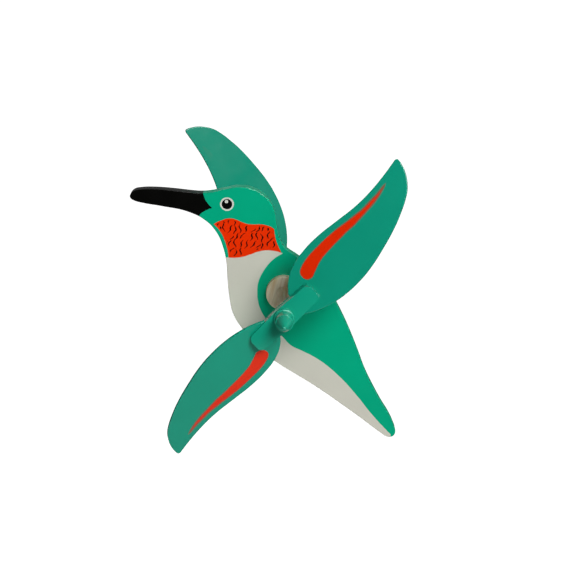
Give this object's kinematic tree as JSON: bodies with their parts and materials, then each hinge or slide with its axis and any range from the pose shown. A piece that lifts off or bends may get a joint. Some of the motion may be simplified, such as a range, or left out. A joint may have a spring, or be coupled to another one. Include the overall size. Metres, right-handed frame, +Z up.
{
  "type": "hummingbird whirligig",
  "caption": "Painted board hummingbird that swivels on a post, with free-spinning winged propellers held out on each side by turned spacers on a cross axle.",
  "frame": {"origin": "centre of the pivot hole's mouth, on the flat under the bird's belly where the post goes in", "axes": "+Z up along the post, -X towards the beak, Y along the propellers' axle"},
  "size_m": [0.2649, 0.2458, 0.3094],
  "materials": {
    "bird_paint": "gloss enamel on board, green with a black beak, red throat and white belly",
    "wing_paint": "gloss green enamel on thin sheet, with a red-orange stripe on the outer face",
    "hub_paint": "gloss green enamel",
    "cap_paint": "gloss green enamel",
    "spacer_wood": "bare turned hardwood, lightly oiled",
    "steel": "zinc plated",
    "brass": "drawn tube",
    "bush_plastic": "natural nylon"
  },
  "bodies": {
    "bird": {"body_board": "bird_paint", "pivot_sleeve": "brass", "pivot_plug": "steel", "axle_rod": "steel", "spacer_near": "spacer_wood", "inner_washer_near": "steel", "outer_washer_near": "steel", "axle_nut_near": "steel", "spacer_far": "spacer_wood", "inner_washer_far": "steel", "outer_washer_far": "steel", "axle_nut_far": "steel"},
    "near_propeller": {"hub_near": "hub_paint", "hub_bush_near": "bush_plastic", "nose_cap_near": "cap_paint", "wing_near_a": "wing_paint", "wing_near_b": "wing_paint", "wing_screw_near_a1": "steel", "wing_screw_near_a2": "steel", "wing_screw_near_b1": "steel", "wing_screw_near_b2": "steel"},
    "far_propeller": {"hub_far": "hub_paint", "hub_bush_far": "bush_plastic", "nose_cap_far": "cap_paint", "wing_far_a": "wing_paint", "wing_far_b": "wing_paint", "wing_screw_far_a1": "steel", "wing_screw_far_a2": "steel", "wing_screw_far_b1": "steel", "wing_screw_far_b2": "steel"}
  },
  "joints": [
    {"name": "near_spin", "type": "hinge", "parent": "bird", "child": "near_propeller", "pos_m": [0.017, 0, 0.0605], "axis": [0, -1, 0], "continuous": true},
    {"name": "far_spin", "type": "hinge", "parent": "bird", "child": "far_propeller", "pos_m": [0.017, 0, 0.0605], "axis": [0, 1, 0], "continuous": true}
  ]
}
